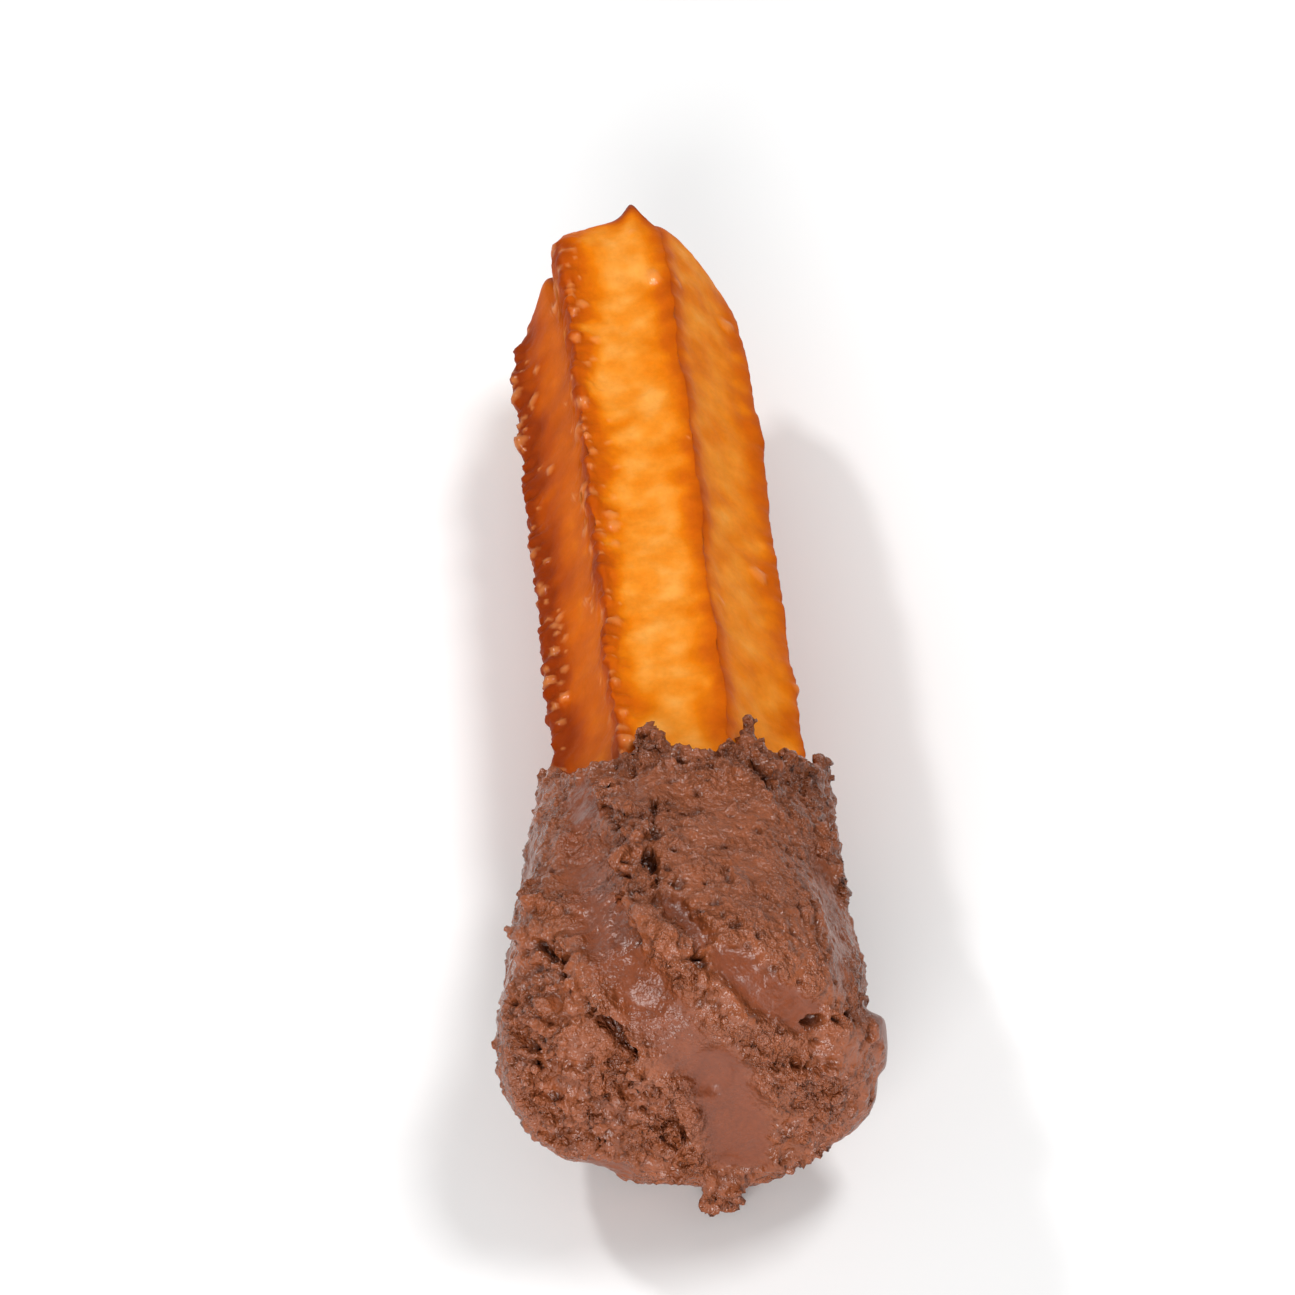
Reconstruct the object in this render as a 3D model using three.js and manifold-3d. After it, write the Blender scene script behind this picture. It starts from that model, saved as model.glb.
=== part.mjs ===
// Half of a star-section churro whose lower end is wrapped in a thick, knife-spread
// coat of chocolate. Millimetres, +Z up. The stick lies along +X: the chocolate end
// is at -X, the free end at +X. The finished part rests on z = 0.

import * as THREE from 'three';
import { mergeVertices } from 'three/addons/utils/BufferGeometryUtils.js';
import Module from 'manifold-3d';

const wasm = await Module();
wasm.setup();

// ---- Driving dimensions (mm and degrees) ---------------------------------------

const STICK_LENGTH = 102.5; // fried dough, hidden end to the tip of the free end
const CREST_RADIUS_FREE = 11.6; // axis to the top of a ridge at the free end
const CREST_RADIUS_DIPPED = 12.3; // the same at the chocolate end
const RIDGES = 8;
const RIDGE_TURN = -18; // from straight up to the nearest ridge, + towards +Y
const VALLEY = 0.868; // floor of a valley, as a share of the crest radius
const VALLEY_RISE = 0.075; // slow rise of the floor towards the ridges
const VALLEY_CURVE = 1.8; // higher keeps the rise closer to the ridges
const RIDGE_WIDTH = 5; // half angle of the raised ridge
const RIDGE_WAVES = [ // share of the ridge's height, turns per mm, phase per ridge
  { size: 0.16, rate: 0.31, phase: 2.3 },
  { size: 0.1, rate: 0.77, phase: -1 },
];
const SWELL = { along: 0.008, round: 0.006, slowRate: 0.09, fastRate: 0.21 };

const FREE_END_DROP = 13.5; // how much shorter the sides are than the top
const FREE_END_LEAST = 14; // the same for the underside
const FREE_END_CURVE = 1.15; // higher keeps the top of the end flatter
const NUB_LENGTH = 2.4; // small pulled tip near the top ridge
const NUB_TURN = -6;
const NUB_WIDTH = 6;
const NOTCH = { turn: 41, width: 5, depth: 3.8 }; // nick beside a ridge's end
const TAPER_LENGTH = 9; // the free end rounds over this length
const TAPER = 0.13; // and grows this much thinner
const TAPER_STAR = 0.75; // and loses this share of its star shape
const FACE_CENTRE_DROP = 9.5; // the free end's face, behind the tip
const FACE_BULGE = 1.2;

const COAT_FRONT = 4.5; // chocolate beyond the stick's hidden end
const COAT_DOME = 8.5; // depth of the rounded front
const COAT_SQUARENESS = 2.9; // 2 is an ellipse, higher is blunter
const COAT_EDGE_TOP = 26.3; // stick covered, measured from its hidden end
const COAT_EDGE_SIDE = 35;
const COAT_EDGE_UNDER = 37;
const COAT_EDGE_CURVE = 6; // higher keeps the top edge straighter
const COAT_LIP = 0.7; // thickness of the coat at its edge, over the ridges
const COAT_REACH = { left: 18.5, right: 13.2, top: 15.4, under: 14.6 };
const COAT_SECTION = 2.25; // 2 is an ellipse, higher is squarer
const COAT_FULL = 0.93; // share of the coat over which it grows to its full reach
const COAT_GROWTH = 0.75; // 1 is a cone, 0 swells at once
const COAT_PEAKS = [
  { turn: 16, width: 7, height: 4.4 },
  { turn: -25, width: 7, height: 3.8 },
  { turn: 58, width: 12, height: 1.2 },
  { turn: -140, width: 16, height: 2 },
];
const EDGE_RIPPLES = [{ count: 9, size: 0.5 }, { count: 14, size: 0.4 }];
const COAT_LUMPS = [ // size in mm, turns per mm along, count round the coat
  { size: 0.35, rate: 0.42, count: 3 },
  { size: 0.25, rate: -0.3, count: 7 },
];

const GAP = 0.3; // between the stick and the coat, measured along a radius
const TILT = 3.15; // the thick coat props its end of the stick up
const REST_CUT = 0.55; // depth of the flats that it rests on

const SIDES = RIDGES * 8;
const STICK_ROWS = 31;
const COAT_SIDES = 60;
const COAT_ROWS = 13;
const DOME_ROWS = 7;

// ---- Small helpers ---------------------------------------------------------------

const radians = THREE.MathUtils.degToRad;
const { lerp } = THREE.MathUtils;
const bell = (distance, width) => Math.exp(-((distance / width) ** 2));

// Signed angle from b to a in degrees, between -180 and 180.
function turnBetween(a, b) {
  return THREE.MathUtils.euclideanModulo(a - b + 180, 360) - 180;
}

// The point at a distance r from the axis, turn degrees from straight up towards +Y.
function aroundAxis(along, turn, r) {
  return new THREE.Vector3(along, r * Math.sin(radians(turn)), r * Math.cos(radians(turn)));
}

// A closed skin of rings round the x axis. It has a sphere's layout, a pole at each
// end, and place(turn, row) puts each of its corners. Row 0 is at the -X end.
function skin(sides, rows, firstTurn, place) {
  const geometry = new THREE.SphereGeometry(1, sides, rows.length - 1);
  const position = geometry.attributes.position;
  for (let i = 0; i < position.count; i += 1) {
    const row = rows[Math.floor(i / (sides + 1))];
    const side = i % (sides + 1) % sides;
    const point = place(firstTurn + (360 * side) / sides, row);
    position.setXYZ(i, point.x, point.y, point.z);
  }
  return geometry;
}

function toSolid(geometry) {
  const bare = geometry.clone();
  bare.deleteAttribute('normal');
  bare.deleteAttribute('uv');
  const merged = mergeVertices(bare, 1e-4);
  const mesh = new wasm.Mesh({
    numProp: 3,
    vertProperties: new Float32Array(merged.attributes.position.array),
    triVerts: new Uint32Array(merged.index.array),
  });
  return new wasm.Manifold(mesh);
}

function toGeometry(solid) {
  const mesh = solid.getMesh();
  const geometry = new THREE.BufferGeometry();
  geometry.setAttribute('position', new THREE.BufferAttribute(mesh.vertProperties, 3));
  geometry.setIndex(new THREE.BufferAttribute(mesh.triVerts, 1));
  geometry.computeVertexNormals();
  return geometry;
}

// ---- The stick of fried dough ---------------------------------------------------

// Radius of the star section. Broad shallow valleys lie between narrow raised ridges
// that are a little uneven along the stick.
function starRadius(turn, along) {
  const pitch = 360 / RIDGES;
  const ridge = Math.round(turnBetween(turn, RIDGE_TURN) / pitch);
  const away = Math.abs(turnBetween(turn, RIDGE_TURN) - ridge * pitch);
  const rounding = Math.max(1 - (freeEnd(turn) - along) / TAPER_LENGTH, 0) ** 2;
  const crest = lerp(CREST_RADIUS_DIPPED, CREST_RADIUS_FREE, along / STICK_LENGTH);
  const floor = VALLEY + VALLEY_RISE * (1 - away / (pitch / 2)) ** VALLEY_CURVE;
  let height = 1 - VALLEY - VALLEY_RISE;
  for (const wave of RIDGE_WAVES) {
    height *= 1 + wave.size * Math.sin(wave.rate * along + wave.phase * ridge);
  }
  const slow = SWELL.along * Math.sin(SWELL.slowRate * along);
  const fast = SWELL.round * Math.sin(SWELL.fastRate * along + radians(turn));
  const star = floor + height * bell(away, RIDGE_WIDTH);
  const rounded = lerp(star, 1 - 0.5 * height, TAPER_STAR * rounding);
  return crest * (1 + slow + fast) * rounded * (1 - TAPER * rounding);
}

// Length of the stick along one line of its skin: longest on top, where the dough was
// pulled to a small nub as it was cut.
function freeEnd(turn) {
  const slope = FREE_END_DROP * (1 - Math.cos(radians(turn))) ** FREE_END_CURVE;
  const drop = FREE_END_LEAST * Math.tanh(slope / FREE_END_LEAST);
  const nub = NUB_LENGTH * bell(turnBetween(turn, NUB_TURN), NUB_WIDTH);
  const notch = NOTCH.depth * bell(turnBetween(turn, NOTCH.turn), NOTCH.width);
  return STICK_LENGTH - NUB_LENGTH - drop + nub - notch;
}

function stickRows() {
  const rows = [];
  rows.push({ share: 0, scale: 0 });
  rows.push({ share: 0, scale: 0.5 });
  rows.push({ share: 0, scale: 0.9 });
  for (let i = 0; i <= STICK_ROWS; i += 1) {
    rows.push({ share: lerp(0.012, 0.988, i / STICK_ROWS), scale: 1 });
  }
  rows.push({ share: 1, scale: 0.955 });
  rows.push({ share: 1, scale: 0.955, inward: 0.25 });
  rows.push({ share: 1, scale: 0.955, inward: 0.62 });
  rows.push({ share: 1, scale: 0.955, inward: 1 });
  return rows;
}

// grow widens and lengthens the stick, to make the room that the coat leaves for it.
function stick(grow) {
  const centre = new THREE.Vector3(STICK_LENGTH - FACE_CENTRE_DROP + FACE_BULGE, 0, 0);
  return skin(SIDES, stickRows(), RIDGE_TURN, (turn, row) => {
    const along = lerp(-grow, freeEnd(turn), row.share);
    const r = row.scale * (starRadius(turn, Math.max(along, 0)) + grow);
    const point = aroundAxis(along, turn, r);
    const inward = row.inward ?? 0;
    point.lerp(centre, inward);
    return point;
  });
}

// ---- The chocolate coat -----------------------------------------------------------

// Where the knife pressed the chocolate down (depth > 0) or left it standing
// (depth < 0): straight strokes between two points near the surface.
const STROKES = [
  { from: [18, 11, 12], to: [4.5, 9.6, 13.6], width: 2.6, depth: 0.8 },
  { from: [4.5, 9.6, 13.6], to: [-3.6, 4.4, 9], width: 2.8, depth: 0.9 },
  { from: [-3.6, 4.4, 9], to: [-4.3, -1.3, -5], width: 3.3, depth: 0.9 },
  { from: [16, 6.3, 14.4], to: [3.8, 5.6, 14.8], width: 1.8, depth: -0.9 },
  { from: [3.8, 5.6, 14.8], to: [-4.1, -2.7, 6.4], width: 1.8, depth: -1 },
  { from: [-1.4, -0.8, 13.7], to: [-2.9, -7.1, 8.7], width: 2.2, depth: 0.7 },
  { from: [-2, -12.5, 4], to: [1, -13.5, -3], width: 4, depth: -1.6 },
  { from: [-3.5, -0.7, -11], to: [-3, 0.5, -12], width: 2.6, depth: -1.8 },
  { from: [-2.3, 14.8, 2.2], to: [-3.6, 11, -3], width: 4.5, depth: 0.9 },
  { from: [13, 15.5, 9], to: [10, 16, 8], width: 3, depth: -0.8 },
];

function coatEdge(turn) {
  const side = Math.abs(Math.sin(radians(turn)));
  const plain = Math.cos(radians(turn)) > 0 ? COAT_EDGE_TOP : COAT_EDGE_UNDER;
  let edge = lerp(plain, COAT_EDGE_SIDE, side ** COAT_EDGE_CURVE);
  for (const peak of COAT_PEAKS) {
    edge += peak.height * bell(turnBetween(turn, peak.turn), peak.width);
  }
  for (const ripple of EDGE_RIPPLES) {
    edge += ripple.size * Math.sin(radians(turn * ripple.count));
  }
  return edge;
}

// Distance of the coat's surface from the axis. deep is 0 at the edge and 1 from the
// fullest part to the front.
function coatRadius(turn, deep) {
  const lip = CREST_RADIUS_DIPPED + COAT_LIP;
  const across = Math.sin(radians(turn)) > 0 ? COAT_REACH.left : COAT_REACH.right;
  const upright = Math.cos(radians(turn)) > 0 ? COAT_REACH.top : COAT_REACH.under;
  const fill = COAT_GROWTH * deep + (1 - COAT_GROWTH) * Math.sin(0.5 * Math.PI * deep);
  const half = { across: lerp(lip, across, fill), upright: lerp(lip, upright, fill) };
  const x = Math.abs(Math.sin(radians(turn))) / half.across;
  const z = Math.abs(Math.cos(radians(turn))) / half.upright;
  return (x ** COAT_SECTION + z ** COAT_SECTION) ** (-1 / COAT_SECTION);
}

function coatRows() {
  const rows = [];
  for (let i = 0; i < DOME_ROWS; i += 1) {
    const round = (0.5 * Math.PI * i) / DOME_ROWS;
    const scale = Math.sin(round) ** (2 / COAT_SQUARENESS);
    const back = 1 - Math.cos(round) ** (2 / COAT_SQUARENESS);
    rows.push({ dome: back, scale });
  }
  for (let i = 0; i <= COAT_ROWS; i += 1) {
    rows.push({ dome: 1, scale: 1, share: i / COAT_ROWS });
  }
  rows.push({ dome: 1, scale: 0.55, share: 1 });
  rows.push({ dome: 1, scale: 0, share: 1 });
  return rows;
}

// Moves a point in or out along its radius by the strokes that pass near it.
function spread(point) {
  const radial = new THREE.Vector3(0.6 * Math.min(point.x - 4, 0), point.y, point.z).normalize();
  const nearest = new THREE.Vector3();
  const line = new THREE.Line3();
  let shift = 0;
  for (const stroke of STROKES) {
    line.start.fromArray(stroke.from);
    line.end.fromArray(stroke.to);
    line.closestPointToPoint(point, true, nearest);
    shift -= stroke.depth * bell(nearest.distanceTo(point), stroke.width);
  }
  return point.addScaledVector(radial, shift);
}

function coatBlank() {
  const fullest = COAT_DOME - COAT_FRONT;
  return skin(COAT_SIDES, coatRows(), 0, (turn, row) => {
    const share = row.share ?? 0;
    const edge = row.scale === 0 ? COAT_EDGE_TOP + 2 : coatEdge(turn);
    const along = lerp(-COAT_FRONT, fullest, row.dome) + share * (edge - fullest);
    const deep = Math.min((1 - share) / COAT_FULL, 1);
    let lumps = 0;
    for (const lump of COAT_LUMPS) {
      lumps += lump.size * Math.sin(lump.rate * along + radians(lump.count * turn));
    }
    const r = row.scale * (coatRadius(turn, deep) + lumps * (1 - share));
    const point = aroundAxis(along, turn, r);
    return share < 1 ? spread(point) : point;
  });
}

// ---- Putting it together -----------------------------------------------------------

// Turned and lifted so that the coat's underside and the free end both reach the floor.
function lay(geometry, middle) {
  const laid = geometry.clone();
  laid.translate(-middle, 0, 0);
  laid.rotateY(radians(TILT));
  return laid;
}

function lowest(geometries) {
  const heights = geometries.map((geometry) => {
    geometry.computeBoundingBox();
    return geometry.boundingBox.min.z;
  });
  return Math.min(...heights);
}

const middle = (STICK_LENGTH - COAT_FRONT) / 2;
const laidStick = lay(stick(0), middle);
const laidCoat = lay(coatBlank(), middle);
const laidRoom = lay(stick(GAP), middle);
const floor = lowest([laidStick, laidCoat]) + REST_CUT;

// A slab below the floor cuts the flats that the part rests on.
const slab = new THREE.BoxGeometry(300, 300, 100);
slab.translate(0, 0, floor - 50);
const ground = toSolid(slab);
const stickSolid = toSolid(laidStick).subtract(ground);
const coatSolid = toSolid(laidCoat).subtract(toSolid(laidRoom)).subtract(ground);

const doughMaterial = new THREE.MeshStandardMaterial({ color: 0xd98a32, roughness: 0.55, metalness: 0 });
const chocolateMaterial = new THREE.MeshStandardMaterial({ color: 0x6e4636, roughness: 0.5, metalness: 0 });

const churro = new THREE.Mesh(toGeometry(stickSolid), doughMaterial);
churro.name = 'dough_stick';
const chocolate = new THREE.Mesh(toGeometry(coatSolid), chocolateMaterial);
chocolate.name = 'chocolate_coat';

const part = new THREE.Group();
part.add(churro, chocolate);

// The origin is at the middle of the part's footprint, on the floor.
const box = new THREE.Box3().setFromObject(part, true);
part.position.set(-(box.min.x + box.max.x) / 2, -(box.min.y + box.max.y) / 2, -box.min.z);

export default part;
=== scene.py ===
# %% [markdown]
# # Half a churro in thick chocolate
# A churro is a rope of dough pressed through a star-shaped nozzle and fried, so it comes
# out as a bundle of valleys and ridges. The valleys stay smooth and golden; the ridges stand
# in the hottest oil, tear a little, blister and turn brown. This one is a half, its lower
# end pushed into thick chocolate that a knife then pressed round it.
#
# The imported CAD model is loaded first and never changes. It says where everything lies.

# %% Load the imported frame
import math
import random

import bmesh
import bpy
import numpy as np
from mathutils import Matrix, Vector, kdtree, noise


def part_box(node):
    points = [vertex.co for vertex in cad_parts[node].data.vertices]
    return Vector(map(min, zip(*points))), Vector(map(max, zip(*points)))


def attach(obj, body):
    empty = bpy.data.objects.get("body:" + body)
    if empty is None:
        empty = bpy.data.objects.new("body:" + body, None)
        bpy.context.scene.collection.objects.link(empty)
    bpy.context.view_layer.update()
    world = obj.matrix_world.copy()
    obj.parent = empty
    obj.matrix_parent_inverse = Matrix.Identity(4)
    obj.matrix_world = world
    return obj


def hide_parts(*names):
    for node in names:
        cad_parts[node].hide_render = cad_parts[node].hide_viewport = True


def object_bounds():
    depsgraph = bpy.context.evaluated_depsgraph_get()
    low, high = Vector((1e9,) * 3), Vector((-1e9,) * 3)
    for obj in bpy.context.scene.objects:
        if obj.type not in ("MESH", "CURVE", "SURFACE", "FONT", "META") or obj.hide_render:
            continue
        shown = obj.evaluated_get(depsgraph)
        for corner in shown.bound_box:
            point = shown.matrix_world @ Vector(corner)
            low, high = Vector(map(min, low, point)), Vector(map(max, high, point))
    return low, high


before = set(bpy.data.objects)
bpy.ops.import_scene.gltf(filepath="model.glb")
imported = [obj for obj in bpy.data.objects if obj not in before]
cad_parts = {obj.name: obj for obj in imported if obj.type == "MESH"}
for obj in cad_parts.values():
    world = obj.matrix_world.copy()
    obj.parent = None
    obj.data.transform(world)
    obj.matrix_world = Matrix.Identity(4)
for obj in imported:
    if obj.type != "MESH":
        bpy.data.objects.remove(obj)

cad_low, cad_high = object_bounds()
print("nodes", sorted(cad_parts), "size in mm", [round(1000 * s, 1) for s in cad_high - cad_low])

# %% [markdown]
# ## The stick's own measures
# Both pieces are shaped in the stick's own frame, in millimetres: x runs along its axis from
# the hidden end to the free end, and a turn is an angle round that axis, 0 straight up and
# positive towards +Y. The numbers are the ones that the CAD model is made from, so the fine
# surface lies on the same solid.

# %% Measures of the dough
MM = 0.001
STICK_LENGTH = 102.5
COAT_FRONT = 4.5
TILT = 3.15
RIDGES = 8
PITCH = 360 / RIDGES
RIDGE_TURN = -18
CREST_FREE = 11.6
CREST_DIPPED = 12.3
VALLEY = 0.868
VALLEY_RISE = 0.075
VALLEY_CURVE = 1.8
RIDGE_WIDTH = 5
RIDGE_WAVES = [(0.16, 0.31, 2.3), (0.1, 0.77, -1)]
FREE_END_DROP = 13.5
FREE_END_LEAST = 14
FREE_END_CURVE = 1.15
NUB_LENGTH = 2.4
NUB_TURN = -6
NUB_WIDTH = 6
NOTCH_TURN = 41
NOTCH_WIDTH = 5
NOTCH_DEPTH = 3.8
TAPER_LENGTH = 9
TAPER = 0.13
TAPER_STAR = 0.75
FACE_CENTRE_DROP = 9.5
FACE_BULGE = 1.2


def bell(distance, width):
    return math.exp(-((distance / width) ** 2))


def turn_between(a, b):
    return (a - b + 180) % 360 - 180


def smooth(low, high, value):
    t = min(max((value - low) / (high - low), 0.0), 1.0)
    return t * t * (3 - 2 * t)


def mix(a, b, share):
    return a + (b - a) * share


def around_axis(along, turn, radius):
    angle = math.radians(turn)
    return Vector((along, radius * math.sin(angle), radius * math.cos(angle)))


def nearest_ridge(turn):
    """The number of the ridge next to a turn, and the signed angle from that ridge."""
    off = turn_between(turn, RIDGE_TURN)
    ridge = round(off / PITCH)
    return ridge, off - ridge * PITCH


def star_radius(turn, along):
    """Radius of the star section, the same smooth one that the CAD stick has."""
    ridge, off = nearest_ridge(turn)
    away = abs(off)
    crest = mix(CREST_DIPPED, CREST_FREE, along / STICK_LENGTH)
    floor = VALLEY + VALLEY_RISE * (1 - away / (PITCH / 2)) ** VALLEY_CURVE
    height = 1 - VALLEY - VALLEY_RISE
    for size, rate, phase in RIDGE_WAVES:
        height *= 1 + size * math.sin(rate * along + phase * ridge)
    swell = 1 + 0.008 * math.sin(0.09 * along) + 0.006 * math.sin(0.21 * along + math.radians(turn))
    star = floor + height * bell(away, RIDGE_WIDTH)
    rounding = max(1 - (free_end(turn) - along) / TAPER_LENGTH, 0) ** 2
    return crest * swell * mix(star, 1 - 0.5 * height, TAPER_STAR * rounding) * (1 - TAPER * rounding)


def slanted_end(turn):
    """Length of the stick along one line of its skin, were its end cut cleanly."""
    slope = FREE_END_DROP * (1 - math.cos(math.radians(turn))) ** FREE_END_CURVE
    return STICK_LENGTH - NUB_LENGTH - FREE_END_LEAST * math.tanh(slope / FREE_END_LEAST)


def free_end(turn):
    """The same with the pulled tip and the notch beside it."""
    nub = NUB_LENGTH * bell(turn_between(turn, NUB_TURN), NUB_WIDTH)
    notch = NOTCH_DEPTH * bell(turn_between(turn, NOTCH_TURN), NOTCH_WIDTH)
    return slanted_end(turn) + nub - notch


print("tip at", round(free_end(NUB_TURN), 1), "mm, sides at", round(free_end(90), 1), "mm")

# %% [markdown]
# ## Where the stick lies
# The stick slopes a little, because the coat props up its end. Its slope is known, so only
# the shift is missing. The plain star is worked out at the CAD model's own corners, turned by
# the slope and compared with the CAD node's box: the difference between the boxes is the shift.

# %% From the stick's frame to the row's frame
TO_MIDDLE = Matrix.Translation(Vector((COAT_FRONT - STICK_LENGTH, 0, 0)) / 2)
SLOPE = Matrix.Rotation(math.radians(TILT), 4, "Y") @ TO_MIDDLE
CAD_SIDES = RIDGES * 8
CAD_STATIONS = 31


def plain_star_corners():
    for side in range(CAD_SIDES):
        turn = RIDGE_TURN + 360 * side / CAD_SIDES
        for station in range(CAD_STATIONS + 1):
            along = free_end(turn) * mix(0.012, 0.988, station / CAD_STATIONS)
            yield SLOPE @ around_axis(along, turn, star_radius(turn, along))
        yield SLOPE @ around_axis(free_end(turn), turn, 0.955 * star_radius(turn, free_end(turn)))


corners = list(plain_star_corners())
dough_low, dough_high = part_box("dough_stick")
shift = Vector((
    dough_high.x - MM * max(c.x for c in corners),
    (dough_high.y + dough_low.y - MM * max(c.y for c in corners) - MM * min(c.y for c in corners)) / 2,
    dough_high.z - MM * max(c.z for c in corners),
))
TO_ROW = Matrix.Translation(shift) @ Matrix.Scale(MM, 4) @ SLOPE
FLOOR = cad_low.z
print("hidden end of the axis at", [round(1000 * c, 2) for c in TO_ROW @ Vector((0, 0, 0))], "mm")


# %% [markdown]
# ## A skin round an axis
# Blender's UV sphere is already a closed skin of rings between two poles. Each ring becomes
# one station along the stick, and each of its corners goes where a shape function puts it.
# Nothing has to be stitched, and the faces keep pointing outwards.

# %% Rings of a sphere laid along an axis
def skin(sides, stations, place):
    """A closed skin whose corners are at place(turn, station), in the stick's frame."""
    bm = bmesh.new()
    bmesh.ops.create_uvsphere(bm, u_segments=sides, v_segments=len(stations) - 1, radius=1.0)
    for corner in bm.verts:
        ring = round(math.acos(min(max(corner.co.z, -1.0), 1.0)) / math.pi * (len(stations) - 1))
        turn = math.degrees(math.atan2(corner.co.y, corner.co.x))
        corner.co = place(turn, stations[ring])
    bm.normal_update()
    return bm


def finished(bm, name, material, node):
    """Puts a bmesh in the row's frame as a piece that stands for a CAD node."""
    bmesh.ops.transform(bm, matrix=TO_ROW, verts=bm.verts)
    for corner in bm.verts:
        corner.co.z = max(corner.co.z, FLOOR)
    bmesh.ops.recalc_face_normals(bm, faces=bm.faces)
    mesh = bpy.data.meshes.new(name)
    bm.to_mesh(mesh)
    bm.free()
    mesh.shade_smooth()
    mesh.materials.append(material)
    piece = bpy.data.objects.new(name, mesh)
    bpy.context.scene.collection.objects.link(piece)
    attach(piece, "root")
    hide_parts(node)
    triangles = sum(len(p.vertices) - 2 for p in mesh.polygons)
    print(name, "has", triangles, "triangles")
    return piece


# %% [markdown]
# ## Fried dough: the ridges
# Up close a ridge isn't a clean edge. It wanders from side to side, its top is torn into
# small teeth by the nozzle, and steam has blown small beads along it. The valleys only
# swell softly. All of this is real relief here, because it shows on the outline: a third
# of a millimetre nearly everywhere, and close to one at the highest tooth. The finest
# grain is left to the material.

# %% How each ridge differs
# number: (blistered, brown, width of the brown towards -, towards +, in degrees)
RIDGE_CHARACTER = {
    0: (0.05, 0.42, 3.5, 6.5), 1: (1.0, 0.5, 6.5, 6.5), 2: (0.95, 0.8, 9.0, 9.0),
    3: (0.8, 0.8, 7.0, 7.0), 4: (0.5, 0.8, 6.0, 6.0), -4: (0.5, 0.8, 6.0, 6.0),
    -3: (0.7, 0.8, 6.5, 6.5), -2: (0.4, 0.6, 5.0, 7.0), -1: (0.12, 0.34, 4.5, 8.0),
}
# brownness of the valley on the + side of each ridge
VALLEY_BROWN = {0: 0.08, 1: 0.46, 2: 0.5, 3: 0.42, 4: 0.42, -4: 0.4, -3: 0.36, -2: 0.28, -1: 0.16}
END_ROUND = 1.8
DOUGH_SIDES = 256
RINGS_ALONG = 278
RINGS_ROUNDING = 8
RINGS_ON_FACE = 24


def wander(along, ridge):
    """Sideways drift of a ridge line, in degrees; one ridge stands off by itself."""
    slow = 2.2 * noise.noise((along * 0.11, ridge * 5.3, 0.7))
    quick = 1.3 * noise.noise((along * 0.45, ridge * 3.1, 5.2))
    return slow + quick + (3.5 if ridge == 1 else 0)


def drifted(turn, along):
    """The turn at which the plain star has what the drifting star has at this turn."""
    ridge, off = nearest_ridge(turn)
    return turn - wander(along, ridge) * (1 - abs(off) / (PITCH / 2))


def dough_point(turn, station):
    share, back, tuck, inward = station
    squeezed = turn - 2.4 * math.sin(math.radians(RIDGES * (turn - RIDGE_TURN)))
    end = free_end(squeezed)
    along = (end - END_ROUND) * share + END_ROUND * back
    radius = star_radius(drifted(squeezed, along), along) - 0.8 * END_ROUND * tuck
    if share == 0:
        return around_axis(0, squeezed, radius * back)
    if inward == 0:
        return around_axis(along, squeezed, radius)
    centre = STICK_LENGTH - FACE_CENTRE_DROP + FACE_BULGE
    rim = mix(end, slanted_end(squeezed), smooth(0.0, 0.25, inward))
    depth = centre + (rim - centre) * (1 - inward) ** 1.3 + 0.8 * FACE_BULGE * inward * (1 - inward)
    rounder = mix(radius, 0.9 * CREST_FREE, smooth(0.0, 0.5, inward))
    return around_axis(depth, squeezed, (1 - inward) * rounder)


def dough_stations():
    """Each station is (share of the length, part of the rounding passed, its tuck, way in)."""
    stations = [(0.0, scale, 0.0, 0.0) for scale in (0.0, 0.35, 0.7, 0.92)]
    for i in range(RINGS_ALONG):
        stations.append((mix(0.01, 1.0, i / (RINGS_ALONG - 1)), 0.0, 0.0, 0.0))
    for i in range(1, RINGS_ROUNDING + 1):
        quarter = math.radians(90 * i / RINGS_ROUNDING)
        stations.append((1.0, math.sin(quarter), 1 - math.cos(quarter), 0.0))
    stations += [(1.0, 1.0, 1.0, i / RINGS_ON_FACE) for i in range(1, RINGS_ON_FACE + 1)]
    return stations


dough = skin(DOUGH_SIDES, dough_stations(), dough_point)
print("dough skin", len(dough.verts), "corners")


# %% [markdown]
# The relief is added along each corner's normal. Every corner also remembers how brown it
# is and whether it sits on a bead, as attributes that the material reads later. Brown
# follows the ridges and fades over a couple of millimetres into the gold of the valleys.

# %% Teeth, swelling and browning
brown_layer = dough.verts.layers.float.new("brown")
bead_layer = dough.verts.layers.float.new("bead")
# one larger lump near the tip of a crest
CREST_LUMP = around_axis(95.5, 30, 11.5)


def place_on_stick(point):
    """Turn, distance along and radius of a point in the stick's frame."""
    return math.degrees(math.atan2(point.y, point.z)), point.x, math.hypot(point.y, point.z)


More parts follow.
